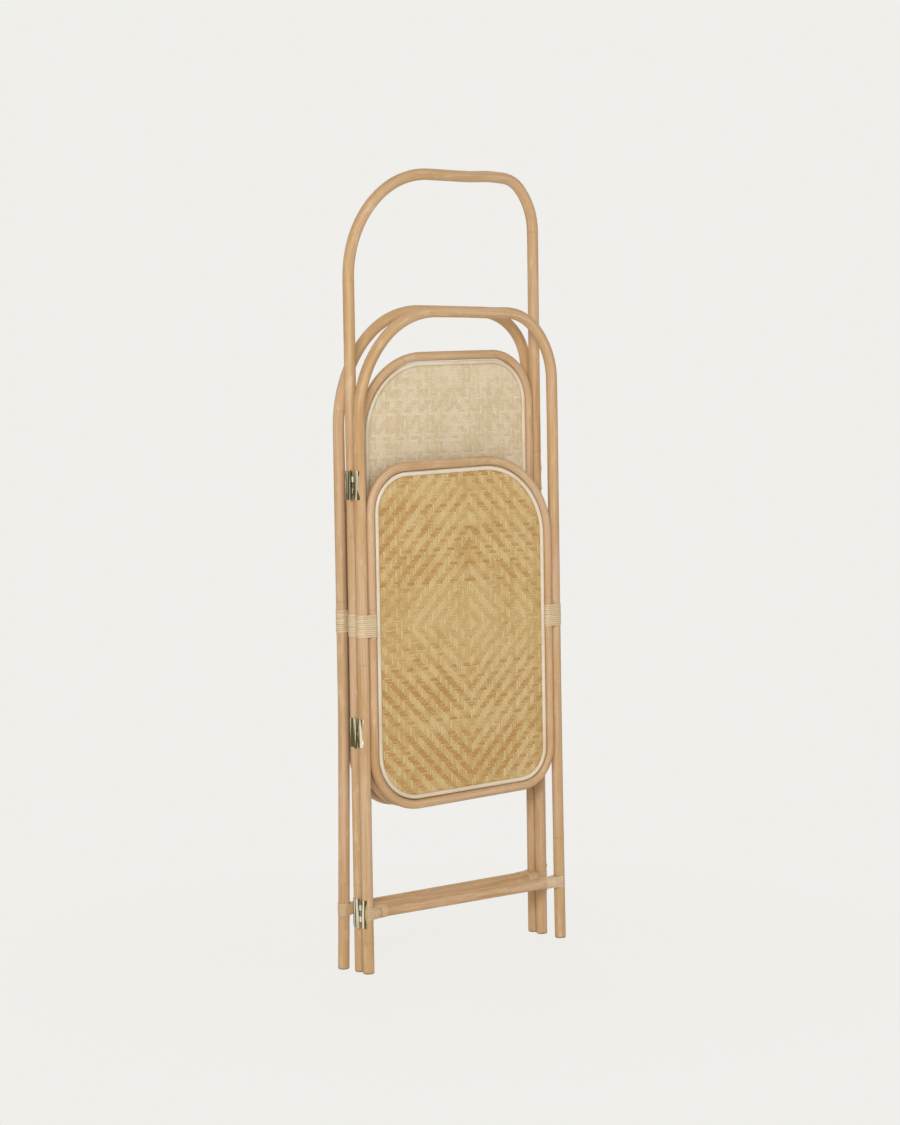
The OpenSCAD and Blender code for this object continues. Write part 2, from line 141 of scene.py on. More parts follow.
class Wire:
    # carries one socket's value, so that shader maths is written as plain expressions
    def __init__(self, tree, socket=None):
        self.tree = tree
        self.socket = socket

    def add(self, kind, settings=None, values=None, output=0):
        # adds any node: its settings first, then its sockets, by name or number
        node = self.tree.nodes.new(kind)
        for name, value in (settings or {}).items():
            setattr(node, name, value)
        for name, value in (values or {}).items():
            if isinstance(value, Wire):
                self.tree.links.new(value.socket, node.inputs[name])
            else:
                node.inputs[name].default_value = value
        return Wire(self.tree, node.outputs[output]) if len(node.outputs) else None

    def sibling(self, output):
        # another output of the same node
        return Wire(self.tree, self.socket.node.outputs[output])

    def math(self, operation, *values):
        return self.add("ShaderNodeMath", {"operation": operation}, dict(enumerate(values)))

    def __add__(self, other):
        return self.math("ADD", self, other)

    def __radd__(self, other):
        return self.math("ADD", other, self)

    def __sub__(self, other):
        return self.math("SUBTRACT", self, other)

    def __rsub__(self, other):
        return self.math("SUBTRACT", other, self)

    def __mul__(self, other):
        return self.math("MULTIPLY", self, other)

    def __rmul__(self, other):
        return self.math("MULTIPLY", other, self)


def fade(wire, low, high):
    # 0 below low and 1 above high, smooth between
    return wire.add("ShaderNodeMapRange", {"interpolation_type": "SMOOTHSTEP"},
                    {"Value": wire, "From Min": low, "From Max": high})


def blend(wire, amount, first, second):
    # mixes two colours, which are sockets 6 and 7 of a Mix node, into its colour output
    return wire.add("ShaderNodeMix", {"data_type": "RGBA"}, {0: amount, 6: first, 7: second}, output=2)


def noise(wire, vector, scale, detail, rough=0.5):
    # scale is one number, or three for a pattern drawn out along the grain
    if isinstance(scale, tuple):
        vector = wire.add("ShaderNodeVectorMath", {"operation": "MULTIPLY"}, {0: vector, 1: scale})
        scale = 1.0
    return wire.add("ShaderNodeTexNoise", {}, {"Vector": vector, "Scale": scale, "Detail": detail,
                                               "Roughness": rough})


def newMaterial(name):
    material = bpy.data.materials.new(name)
    material.use_nodes = True
    material.node_tree.nodes.clear()
    return material, Wire(material.node_tree)


def attribute(wire, name, output):
    return wire.add("ShaderNodeAttribute", {"attribute_name": name}, output=output)


def objectPlace(wire):
    return wire.add("ShaderNodeTexCoord", output="Object")


def makeNoises(wire, look, vector):
    return {name: noise(wire, vector, *values) for name, values in look["noises"].items()}


def layered(wire, look, noises, colour):
    # lays a look's layers of colour over a first one
    for source, low, high, strength, tint in look["layers"]:
        colour = blend(wire, strength * fade(noises[source], low, high), colour, linear(look[tint]))
    return colour


def finishMaterial(wire, look, colour, sheen, relief):
    # sheen is the noise that varies the roughness, and relief the height that the bump follows
    smoothest, spread = look["roughness"]
    normal = wire.add("ShaderNodeBump", {}, {"Height": relief, "Distance": look["relief"], "Strength": 1.0})
    shader = wire.add("ShaderNodeBsdfPrincipled", {},
                      {"Base Color": colour, "Roughness": smoothest + spread * sheen, "Normal": normal,
                       **look["shader"]})
    wire.add("ShaderNodeOutputMaterial", {}, {"Surface": shader})


# In every look, a noise has its scale across and along the grain, its detail and its roughness. The layers of
# colour start with the lowest: the noise that shows it, where it starts, where it is full, its strength and
# its colour. The roughness is the least and how much the noise adds, and the relief is in metres.
rattanLook = {
    "tan": (197, 161, 117), "pink": (203, 169, 135), "honey": (188, 149, 98), "amber": (181, 136, 88),
    # the foot colour is partly the sawn end grain and partly painted contact shade at the floor
    "vein": (160, 117, 74), "pale": (216, 191, 154), "ring": (150, 108, 70), "sawn": (96, 70, 48),
    "noises": {"veins": ((900, 900, 14), 4.0, 0.62), "broad": ((160, 160, 3.2), 3.0, 0.55),
               "drift": ((18, 18, 2.6), 2.0), "blotch": ((60, 60, 22), 3.0, 0.6), "patch": ((45, 45, 5), 3.0),
               "streak": ((330, 330, 9), 2.0, 0.55)},
    "layers": (("drift", 0.38, 0.62, 1.0, "pink"), ("broad", 0.42, 0.68, 0.75, "honey"),
               ("blotch", 0.52, 0.75, 0.6, "pale"), ("patch", 0.54, 0.72, 0.6, "amber"),
               ("streak", 0.53, 0.68, 0.24, "vein"), ("betweenStreaks", 0.53, 0.68, 0.28, "pale"),
               ("veins", 0.5, 0.8, 0.55, "vein")),
    "ringStrength": 0.22, "sawnStrength": 0.75, "roughness": (0.42, 0.2), "relief": 0.00025,
    "broadRelief": 0.6,
    "shader": {"Specular IOR Level": 0.35, "Coat Weight": 0.05, "Coat Roughness": 0.35}}


def makeRattan(name, look, ofFrame=False):
    # fine veins along the rod, slow drifts of tone, and a darker ring at each joint of the cane
    material, wire = newMaterial(name)
    if ofFrame:
        # a crossbar's grain runs along x
        x = wire.add("ShaderNodeSeparateXYZ", {}, {0: objectPlace(wire)})
        along = wire.add("ShaderNodeCombineXYZ", {}, {0: x.sibling(1), 1: x.sibling(2), 2: x})
    else:
        along = attribute(wire, "grain", "Vector")
    noises = makeNoises(wire, look, along)
    noises["betweenStreaks"] = 1 - noises["streak"]
    colour = layered(wire, look, noises, linear(look["tan"]))
    if not ofFrame:
        # the ring layer is 1 at a joint of the cane and 2 on a sawn foot, whose darker colour is partly its
        # end grain and partly painted contact shade where the leg meets the floor
        ring = attribute(wire, "ring", "Fac")
        joint = look["ringStrength"] * wire.math("MINIMUM", ring, 1.0)
        jointed = blend(wire, joint, colour, linear(look["ring"]))
        colour = blend(wire, look["sawnStrength"] * fade(ring, 1.0, 2.0), jointed, linear(look["sawn"]))
    relief = noises["veins"] + look["broadRelief"] * noises["broad"]
    finishMaterial(wire, look, colour, noises["broad"], relief)
    return material


caneLook = {
    "cream": (216, 195, 158), "rosy": (210, 182, 146), "straw": (203, 177, 133), "dark": (170, 136, 96),
    "noises": {"fibre": ((2200, 2200, 30), 3.0, 0.6), "patch": ((200, 200, 20), 2.0)},
    "layers": (("patch", 0.45, 0.7, 0.7, "straw"), ("fibre", 0.52, 0.8, 0.5, "dark")),
    "roughness": (0.4, 0.15), "relief": 0.0002, "shader": {"Coat Weight": 0.15, "Coat Roughness": 0.3}}
bindingLook = dict(caneLook, cream=(208, 179, 139), rosy=(203, 170, 134), straw=(194, 158, 110),
                   dark=(164, 124, 84))


def makeCane(name, look):
    # flat cane: each turn has its own tone, with fibres along the strip
    material, wire = newMaterial(name)
    tone = attribute(wire, "tone", "Fac")
    noises = makeNoises(wire, look, attribute(wire, "grain", "Vector"))
    colour = layered(wire, look, noises, blend(wire, tone, linear(look["cream"]), linear(look["rosy"])))
    finishMaterial(wire, look, colour, noises["fibre"], noises["fibre"])
    return material


beadLook = {
    "cream": (223, 209, 186), "ivory": (213, 195, 168), "dark": (190, 165, 131),
    "noises": {"patch": (9.0, 3.0), "fibre": (420.0, 3.0, 0.7)},
    "layers": (("patch", 0.4, 0.65, 1.0, "ivory"), ("fibre", 0.55, 0.8, 0.35, "dark")),
    "roughness": (0.38, 0.15), "relief": 0.00012, "shader": {"Coat Weight": 0.15, "Coat Roughness": 0.3}}


def makeBead(look):
    material, wire = newMaterial("creamBead")
    noises = makeNoises(wire, look, objectPlace(wire))
    colour = layered(wire, look, noises, linear(look["cream"]))
    finishMaterial(wire, look, colour, noises["fibre"], noises["fibre"])
    return material


weaveLook = {
    "goldenWarp": {"light": (211, 183, 131), "dark": (194, 160, 99),
                   "bright": (224, 202, 154), "deep": (150, 112, 60)},
    "goldenWeft": {"light": (200, 167, 108), "dark": (181, 135, 70),
                   "bright": (224, 202, 154), "deep": (150, 112, 60)},
    "paleWarp": {"light": (224, 207, 179), "dark": (210, 189, 152),
                 "bright": (230, 218, 195), "deep": (192, 166, 124)},
    "paleWeft": {"light": (224, 206, 176), "dark": (210, 189, 152),
                 "bright": (230, 218, 195), "deep": (192, 166, 124)},
    "noises": {"fibre": ((1100, 1100, 20), 4.0, 0.6), "drift": ((30, 30, 9), 2.0),
               "fleck": ((320, 320, 40), 2.0, 0.55), "split": ((410, 410, 24), 2.0)},
    "layers": (("fleck", 0.52, 0.68, 0.6, "bright"), ("split", 0.54, 0.68, 0.35, "deep"),
               ("fibre", 0.46, 0.74, 0.4, "deep")),
    "stripShare": 0.5, "driftShare": 0.3, "patchShare": 0.28, "patch": (13.0, 2.0), "patchFade": (0.38, 0.62),
    "darkFade": (0.27, 0.76), "roughness": (0.42, 0.2), "relief": 0.0002,
    "shader": {"Coat Weight": 0.1, "Coat Roughness": 0.35}}


def makeWeave(kind):
    # every strip has its own tone, which drifts along it and over the sheet, with bright flecks, dark splits
    # and fine fibres
    look = {**weaveLook, **weaveLook[kind]}
    material, wire = newMaterial(kind + "Cane")
    tone = attribute(wire, "tone", "Fac")
    noises = makeNoises(wire, look, attribute(wire, "grain", "Vector"))
    patch = fade(noise(wire, objectPlace(wire), *look["patch"]), *look["patchFade"])
    depth = look["stripShare"] * tone + look["driftShare"] * noises["drift"] + look["patchShare"] * patch
    base = blend(wire, fade(depth, *look["darkFade"]), linear(look["light"]), linear(look["dark"]))
    finishMaterial(wire, look, layered(wire, look, noises, base), noises["fibre"], noises["fibre"])
    return material


# the metal's dark vertical bands over its bright colour are painted reflection: they stand in for the dark
# surroundings that the curved hinge leaves and the screws reflect
metalLook = {
    "bright": (244, 236, 212), "paintedReflectionDark": (96, 88, 56),
    "noises": {"reflectionBands": ((190, 190, 7), 2.0), "brushed": ((2600, 2600, 60), 3.0, 0.6)},
    "layers": (("reflectionBands", 0.44, 0.54, 1.0, "paintedReflectionDark"),),
    "roughness": (0.1, 0.16), "relief": 0.00003, "shader": {"Metallic": 1.0}}
steelLook = dict(metalLook, bright=(190, 188, 182), roughness=(0.25, 0.15))


def makeMetal(name, look):
    material, wire = newMaterial(name)
    noises = makeNoises(wire, look, objectPlace(wire))
    # lays the painted reflection bands over the bright metal
    colour = layered(wire, look, noises, linear(look["bright"]))
    finishMaterial(wire, look, colour, noises["brushed"], noises["brushed"])
    return material


materials = {
    "pole": makeRattan("peeledRattanPole", rattanLook),
    "hoop": makeRattan("peeledRattanHoop", dict(rattanLook, tan=(198, 163, 122), honey=(189, 152, 104))),
    "crossbar": makeRattan("peeledRattanBar", rattanLook, ofFrame=True),
    "cane": makeCane("lashingCane", caneLook),
    "binding": makeCane("bindingCane", bindingLook),
    "bead": makeBead(beadLook),
    "goldenWarp": makeWeave("goldenWarp"),
    "goldenWeft": makeWeave("goldenWeft"),
    "paleWarp": makeWeave("paleWarp"),
    "paleWeft": makeWeave("paleWeft"),
    "brass": makeMetal("hingeBrass", metalLook),
    "steel": makeMetal("screwSteel", steelLook),
}
print("finishes made:", len(materials))


def walk(x, z, runs, step):
    # points along straights and arcs in a panel's plane: (distance, x, z, heading); heading 0 is up
    heading = along = 0.0
    points = [(along, x, z, heading)]
    for length, radius, turn in runs:
        count = max(1, round(length / step)) if length else 0
        startX, startZ = x, z
        for i in range(1, count + 1):
            part = length * i / count
            points.append((along + part, startX + part * math.sin(heading),
                           startZ + part * math.cos(heading), heading))
        x = startX + length * math.sin(heading)
        z = startZ + length * math.cos(heading)
        along += length
        if turn:
            angle = math.radians(turn)
            centreX = x + radius * math.cos(heading)
            centreZ = z - radius * math.sin(heading)
            count = max(3, round(radius * angle / step))
            for i in range(1, count + 1):
                now = heading + angle * i / count
                points.append((along + radius * angle * i / count, centreX - radius * math.cos(now),
                               centreZ + radius * math.sin(now), now))
            heading += angle
            x, z = points[-1][1], points[-1][2]
            along += radius * angle
    return points


def sweep(bm, section, places, distances, values, layerName):
    # carries a ring of vertices along places, one extrusion at a time, and returns its first and last rings;
    # the section is a list of (x, y), and the named layer takes one value per place
    layer = bm.verts.layers.float.get(layerName) or bm.verts.layers.float.new(layerName)
    grain = bm.verts.layers.float_vector.get("grain") or bm.verts.layers.float_vector.new("grain")
    ring = [bm.verts.new(places[0] @ Vector((x, y, 0))) for x, y in section]
    edges = [bm.edges.new((a, b)) for a, b in zip(ring, ring[1:] + ring[:1])]
    for vert, (x, y) in zip(ring, section):
        vert[grain] = Vector((x, y, distances[0]))
        vert[layer] = values[0]
    first = ring
    for i in range(1, len(places)):
        made = bmesh.ops.extrude_edge_only(bm, edges=edges)["geom"]
        ring = [g for g in made if isinstance(g, bmesh.types.BMVert)]
        edges = [g for g in made if isinstance(g, bmesh.types.BMEdge) and all(v in ring for v in g.verts)]
        bmesh.ops.transform(bm, matrix=places[i] @ places[i - 1].inverted(), verts=ring)
        for vert in ring:
            vert[grain] = Vector((vert[grain].x, vert[grain].y, distances[i]))
            vert[layer] = values[i]
    return first, ring


def ringEdges(ring):
    # the edges round one ring of vertices, each once
    return list({e: None for v in ring for e in v.link_edges if e.other_vert(v) in ring})


def closeLoop(bm, first, last):
    bmesh.ops.bridge_loops(bm, edges=ringEdges(first) + ringEdges(last))


def circle(radius, count):
    return [(radius * math.cos(2 * math.pi * i / count), radius * math.sin(2 * math.pi * i / count))
            for i in range(count)]


def makePiece(bm, name, place, body, material, replaced, smooth=True):
    # finishes a mesh: outward normals, its place in its vertices, its body, its slot, and hides the frame
    # parts that it replaces
    bmesh.ops.transform(bm, matrix=place, verts=bm.verts)
    bmesh.ops.recalc_face_normals(bm, faces=bm.faces)
    mesh = bpy.data.meshes.new(name)
    bm.to_mesh(mesh)
    bm.free()
    mesh.materials.append(material)
    mesh.shade_smooth() if smooth else mesh.shade_flat()
    piece = bpy.data.objects.new(name, mesh)
    bpy.context.scene.collection.objects.link(piece)
    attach(piece, body)
    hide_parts(*replaced)
    return piece


# metres. Rings of vertices lie a step apart, with more at a rod's ends and at the joints of the cane, which
# are slightly swollen and keep clear of hinges, lashings and bindings. A pole is loose towards its crown,
# where it dips and strays, and a leg leans out only below the splay's top.
rattan = {"poleSides": 24, "hoopSides": 20, "step": 0.012, "caneLength": 40, "firstJoint": (0.05, 0.2),
          "jointGap": (0.42, 0.8), "clearOf": 0.055, "shift": 0.01, "clearEnd": 0.02, "clearSeam": 0.1,
          "swell": 0.00012, "swellReach": 0.006, "ringWidth": 0.0022,
          "ringSteps": (-3, -1.5, -0.5, 0.5, 1.5, 3), "endStep": 0.003, "closest": 0.0004,
          # a foot's rim and end take a darker colour, partly end grain and partly painted contact shade
          "footBevel": 0.0015, "sawnRim": 1.7, "sawnEnd": 2, "looseBelow": 0.34, "looseOver": 0.25,
          "crownDip": 0.0012, "dipShift": 0.7, "stray": 0.002, "strayPace": 9, "splayTop": 0.62,
          "splayCurve": 1.3}


def caneJoints(length, blocked, seed):
    # places along a rod for the joints of the cane
    dice = random.Random(seed)
    found = []
    at = dice.uniform(*rattan["firstJoint"])
    while at < length:
        while any(abs(at - b) < rattan["clearOf"] for b in blocked):
            at += rattan["shift"]
        if at < length - rattan["clearEnd"]:
            found.append(at)
        at += dice.uniform(*rattan["jointGap"])
    return found


def rodRings(points, joints, wander):
    # turns path points into places for the rod's rings, with extra ones at its ends and at the cane's joints
    distances = [p[0] for p in points]
    distances += [rattan["endStep"], distances[-1] - rattan["endStep"]]
    for joint in joints:
        distances += [joint + k * rattan["ringWidth"] for k in rattan["ringSteps"]]
    places, kept, values = [], [], []
    k = 0
    for s in sorted(distances):
        if kept and s - kept[-1] < rattan["closest"]:
            continue
        while k < len(points) - 2 and points[k + 1][0] < s:
            k += 1
        a, b = points[k], points[k + 1]
        t = min(1, max(0, (s - a[0]) / (b[0] - a[0])))
        x, z, heading = [a[i] + t * (b[i] - a[i]) for i in (1, 2, 3)]
        near = min((abs(s - j) for j in joints), default=1)
        size = 1 + rattan["swell"] / poleRadius * math.exp(-(near / rattan["swellReach"]) ** 2)
        dx, dy, dz = wander(s, x, z)
        right = Vector((math.cos(heading), 0, -math.sin(heading)))
        ahead = Vector((math.sin(heading), 0, math.cos(heading)))
        turned = Matrix((right, Vector((0, 1, 0)), ahead)).transposed().to_4x4()
        place = Matrix.Translation((x + dx, dy, z + dz)) @ turned @ Matrix.Diagonal((size, size, 1, 1))
        places.append(place)
        kept.append(s)
        values.append(math.exp(-(near / rattan["ringWidth"]) ** 2))
    return places, kept, values


def capFoot(bm, ring):
    # bevels a sawn foot and closes it, and marks its rim and end for a darker colour: partly the end grain,
    # partly painted contact shade where the leg stands on the floor
    cap = bmesh.ops.extrude_edge_only(bm, edges=ringEdges(ring))["geom"]
    verts = [g for g in cap if isinstance(g, bmesh.types.BMVert)]
    middle = sum((v.co for v in verts), Vector()) / len(verts)
    down = Vector((0, 0, -rattan["footBevel"]))
    sawn = bm.verts.layers.float.get("ring")
    for vert in ring:
        vert[sawn] = rattan["sawnRim"]
    for vert in verts:
        vert[sawn] = rattan["sawnEnd"]
        vert.co = middle + (vert.co - middle) * (1 - rattan["footBevel"] / poleRadius) + down
    bmesh.ops.contextual_create(bm, geom=ringEdges(verts))


def bendRuns(panel, height, bevel):
    # leg, two arcs, crown, two arcs, leg: each is (length, radius, turn)
    far = math.sqrt(0.5)            # what half a quarter turn covers the long way, as a share of its radius
    near = 1 - far                  # and the short way

    def reach(bends):
        return bends[0] * near + bends[1] * far

    def rise(bends):
        return bends[0] * far + bends[1] * near

    left, right = panel["leftBends"], panel["rightBends"]
    crown = height - poleRadius
    return [(crown - rise(left) - bevel, left[0], 45), (0, left[1], 45),
            (2 * legX - reach(left) - reach(right), right[1], 45), (0, right[0], 45),
            (crown - rise(right) - bevel, 0, 0)]


def legSplay(panel, side, z):
    # how far a leg leans outwards at a height
    lean = panel["splay"].get("left" if side < 0 else "right", 0)
    return side * lean * max(0, 1 - z / rattan["splayTop"]) ** rattan["splayCurve"]


def makePole(name, panel):
    height = boxSize(f"{name}_frame_pole").z
    bevel = rattan["footBevel"]
    points = walk(-legX, bevel, bendRuns(panel, height, bevel), rattan["step"])
    length = points[-1][0]
    busy = [crossbarZ, lashingZ, *hingeZ]
    joints = caneJoints(length, busy + [length - b for b in busy] + [0.0, length], name + " pole")
    dice = random.Random(name + " crown")
    phase = dice.uniform(0, fullTurn)
    waveAt, waveWidth, waveRise = panel["crownWave"]

    def wander(s, x, z):
        # hand-bent: the crown dips a little, waves, and strays from its plane
        loose = min(1, max(0, (z - height + rattan["looseBelow"]) / rattan["looseOver"])) ** 2
        dip = rattan["crownDip"] * (0.5 - 0.5 * math.cos(math.pi * (x / legX + rattan["dipShift"])))
        wave = waveRise * math.exp(-((x - waveAt) / waveWidth) ** 2)
        stray = rattan["stray"] * loose * math.sin(s * rattan["strayPace"] + phase)
        return legSplay(panel, math.copysign(1, x), z), stray, loose * (wave - dip)

    places, distances, values = rodRings(points, joints, wander)
    bm = bmesh.new()
    grown = dice.uniform(0, rattan["caneLength"])               # where this rod was cut from the cane
    first, last = sweep(bm, circle(poleRadius, rattan["poleSides"]), places, [d + grown for d in distances],
                        values, "ring")
    capFoot(bm, first)
    capFoot(bm, last)
    makePiece(bm, f"{name}Pole", panel["place"], panel["body"], materials["pole"],
              [f"{name}_frame_pole"])


def hoopLevels(name, panel, inset):
    # heights of the loop's bottom and top at the panel's middle; both rise to the right at its slant
    grown = (hoopRadius + inset) / math.cos(math.radians(panel["slant"]))
    low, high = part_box(f"{name}_hoop")
    return low.z + grown, high.z - grown


def hoopRuns(name, panel, inset):
    # a closed loop from the middle of the left side, at an inset from the hoop rod's own centre line
    low, high = hoopLevels(name, panel, inset)
    slant = panel["slant"]
    width = 2 * (hoopX - inset)
    rise = width / 2 * math.tan(math.radians(slant))
    across = width / math.cos(math.radians(slant))
    bends = [b - inset for b in panel["hoopBends"]]
    turns = [90 - slant, 90 + slant, 90 - slant, 90 + slant]
    ends = [b * math.tan(math.radians(t) / 2) for b, t in zip(bends, turns)]
    tall = high - low
    runs = [(tall / 2 - rise - ends[0], bends[0], turns[0]), (across - ends[0] - ends[1], bends[1], turns[1]),
            (tall - ends[1] - ends[2], bends[2], turns[2]), (across - ends[2] - ends[3], bends[3], turns[3]),
            (tall / 2 + rise - ends[3], 0, 0)]
    return -width / 2, (low + high) / 2, runs


def hoopPlace(panel):
    return panel["place"] @ Matrix.Translation((0, -hoopForward, 0))


def sweepLoop(section, rings, grown=0.0):
    # a closed rod: its last place lies on its first, so it is left out and the loop is closed instead
    places, distances, values = [part[:-1] for part in rings]
    bm = bmesh.new()
    closeLoop(bm, *sweep(bm, section, places, [d + grown for d in distances], values, "ring"))
    return bm


def makeHoop(name, panel):
    points = walk(*hoopRuns(name, panel, 0), rattan["step"])
    joints = caneJoints(points[-1][0] - rattan["clearSeam"], [0.0, boxSize("middle_hoop").z], name + " hoop")
    rings = rodRings(points, joints, lambda s, x, z: (0, 0, 0))
    grown = random.Random(name + " hoop cane").uniform(0, rattan["caneLength"])
    bm = sweepLoop(circle(hoopRadius, rattan["hoopSides"]), rings, grown)
    makePiece(bm, f"{name}Hoop", hoopPlace(panel), panel["body"], materials["hoop"],
              [f"{name}_hoop"])


for name, panel in panels.items():
    makePole(name, panel)
    makeHoop(name, panel)
print("poles and hoops bent")


# woven cane, in metres: a diamond twill about its own middle, three strips over and three under. The slope is
# the part of a crossing that a strip takes to rise or fall. A tone goes from 0, light, to 1, dark.
weave = {"pitch": 0.00667, "width": 0.0060, "thick": 0.00045, "rise": 0.00042, "middleX": 0.024,
         "middleZ": 0.765, "float": 3, "slope": 0.36, "edge": 0.0045, "crown": 0.0003, "uneven": 0.0003,
         "margin": 0.01, "weld": 0.00002, "outlineSteps": 300, "grainShift": 0.37, "warpTone": 0.35,
         "warpSpread": 0.3, "weftTone": 0.1, "farTone": 0.3, "darkTone": 0.92, "weftSpread": 0.16,
         "darkFrom": 0.055, "darkOver": 0.06, "darkShare": 0.35}


def outlineSpan(name, panel, inset):
    # two functions: the lowest and highest z at x, and the ends in x at z, inside the hoop
    low, high = hoopLevels(name, panel, inset)
    slant = math.radians(panel["slant"])
    half = hoopX - inset
    bends = [b - inset for b in panel["hoopBends"]]
    corners = {(-1, 1): bends[0], (1, 1): bends[1], (1, -1): bends[2], (-1, -1): bends[3]}

    def heights(x):
        x = max(-half, min(half, x))
        side = 1 if x > 0 else -1
        ends = []
        for up, level in ((-1, low), (1, high)):
            bend = corners[side, up]
            centreX = side * (half - bend)
            centreZ = level + centreX * math.tan(slant) - up * bend / math.cos(slant)
            if side * (x - centreX + up * bend * math.sin(slant)) > 0:
                ends.append(centreZ + up * math.sqrt(max(0.0, bend ** 2 - (x - centreX) ** 2)))
            else:
                ends.append(level + x * math.tan(slant))
        return ends

    steps = weave["outlineSteps"]
    places = [half * (i / steps - 1) for i in range(2 * steps + 1)]
    spans = [(x, heights(x)) for x in places]

    def widths(z):
        inside = [x for x, (bottom, top) in spans if bottom <= z <= top]
        return (min(inside), max(inside)) if inside else (0.0, 0.0)

    return heights, widths


def warpInFront(i, j):
    # at the crossing of warp i and weft j, both counted from the middle
    return (abs(i) + abs(j)) % (2 * weave["float"]) < weave["float"]


def eased(before, after, t):
    # from one value to another as t goes from 0 to 1, flat at both ends
    return before + (after - before) * (t * t * (3 - 2 * t))


def stripOffset(state, at):
    # how far forward the strip lies at a place counted in crossings, from its state at each crossing
    cell = math.floor(at + 0.5)
    part = at + 0.5 - cell
    here, before, after = [1 if state(c) else -1 for c in (cell, cell - 1, cell + 1)]
    slope = weave["slope"]
    if part < slope:
        return eased(before, here, 0.5 + 0.5 * part / slope)
    if part > 1 - slope:
        return eased(here, after, 0.5 * (part - 1 + slope) / slope)
    return here


def addStrip(total, index, upright, state, ends, dice, tone):
    # one strip: a grid shaped to its run over and under the others, then given its thickness
    pitch = weave["pitch"]
    half = (weave["width"] + dice.uniform(-1, 1) * weave["uneven"]) / 2
    across = (weave["middleX"] if upright else weave["middleZ"]) + index * pitch
    across += dice.uniform(-0.5, 0.5) * weave["uneven"]
    origin = weave["middleZ"] if upright else weave["middleX"]
    limits = [ends(across + side * half) for side in (-1, 0, 1)]
    start, stop = min(e[0] for e in limits), max(e[1] for e in limits)
    if stop - start < pitch:
        return
    firstCell, lastCell = math.ceil((start - origin) / pitch), math.floor((stop - origin) / pitch)
    marks = [start]
    for cell in range(firstCell, lastCell + 1):
        if state(cell) != state(cell - 1):
            edge = origin + (cell - 0.5) * pitch
            marks += [edge + k * pitch for k in (-weave["slope"], 0, weave["slope"])]
    marks = [start] + sorted(m for m in marks if start < m < stop) + [stop]
    strip = bmesh.new()
    toneLayer = strip.verts.layers.float.new("tone")
    grain = strip.verts.layers.float_vector.new("grain")
    bmesh.ops.create_grid(strip, x_segments=2, y_segments=len(marks) - 1, size=1)
    for vert in strip.verts:
        column = round(vert.co.x + 1)
        row = round((vert.co.y + 1) / 2 * (len(marks) - 1))
        low, high = limits[column]
        along = max(low, min(high, marks[row]))
        side = (column - 1) * half
        forward = stripOffset(state, (along - origin) / pitch) * weave["rise"]
        forward += (column == 1) * weave["crown"]
        depth = -forward + (-weave["thick"] / 2 if upright else weave["thick"] / 2)     # the front is at -Y
        vert.co = (across + side, depth, along) if upright else (along, depth, across + side)
        vert[toneLayer] = tone
        vert[grain] = (side + index * weave["grainShift"], 0, along)
    bmesh.ops.remove_doubles(strip, verts=strip.verts, dist=weave["weld"])
    strip.normal_update()
    bmesh.ops.solidify(strip, geom=strip.faces, thickness=weave["thick"])
    mesh = bpy.data.meshes.new("strip")
    strip.to_mesh(mesh)
    strip.free()
    total.from_mesh(mesh)
    bpy.data.meshes.remove(mesh)


def weftTone(index, dice):
    # wefts grow darker away from the middle of the sheet, and some there are very dark
    far = min(1, max(0, abs(index) * weave["pitch"] - weave["darkFrom"]) / weave["darkOver"])
    strong = dice.random() < weave["darkShare"] * far
    tone = weave["darkTone"] if strong else weave["weftTone"] + weave["farTone"] * far
    return dice.gauss(tone, weave["weftSpread"])


def weaveStrips(name, panel, upright):
    # all the strips that run one way
    inset = hoopRadius + weave["edge"]
    heights, widths = outlineSpan(name, panel, inset)
    low, high = hoopLevels(name, panel, inset)
    half = hoopX - inset
    if upright:
        start, stop, middle, ends = -half, half, weave["middleX"], heights
    else:
        start, stop, middle, ends = low - weave["margin"], high + weave["margin"], weave["middleZ"], widths
    dice = random.Random(name + (" warp" if upright else " weft"))
    total = bmesh.new()
    total.verts.layers.float.new("tone")
    total.verts.layers.float_vector.new("grain")
    first, last = math.ceil((start - middle) / weave["pitch"]), math.floor((stop - middle) / weave["pitch"])
    for index in range(first, last + 1):
        tone = dice.gauss(weave["warpTone"], weave["warpSpread"]) if upright else weftTone(index, dice)
        addStrip(total, index, upright, lambda cell: warpInFront(index, cell) == upright, ends, dice,
                 min(1, max(0, tone)))
    total.normal_update()
    return total


def makeWeaves(name, panel):
    for upright, kind in ((True, "Warp"), (False, "Weft")):
        piece = makePiece(weaveStrips(name, panel, upright), f"{name}{kind}Strips", hoopPlace(panel),
                          panel["body"], materials["golden" + kind],
                          [f"{name}_woven_sheet"], False)
        piece.data.materials.append(materials["pale" + kind])       # golden on one side, pale on the other
        for polygon in piece.data.polygons:
            polygon.material_index = 0 if polygon.normal.y * panel["goldenFace"] > 0 else 1
        print(piece.name, len(piece.data.polygons), "faces")


for name, panel in panels.items():
    makeWeaves(name, panel)
print("cane woven")


# metres; a fullness below 1 makes the half-round section a little squarer
bead = {"width": 0.010, "height": 0.0048, "lift": 0.00095, "gap": 0.0014, "step": 0.012, "sides": 9,
        "fullness": 0.8, "sway": 0.0003, "swayPace": 7}


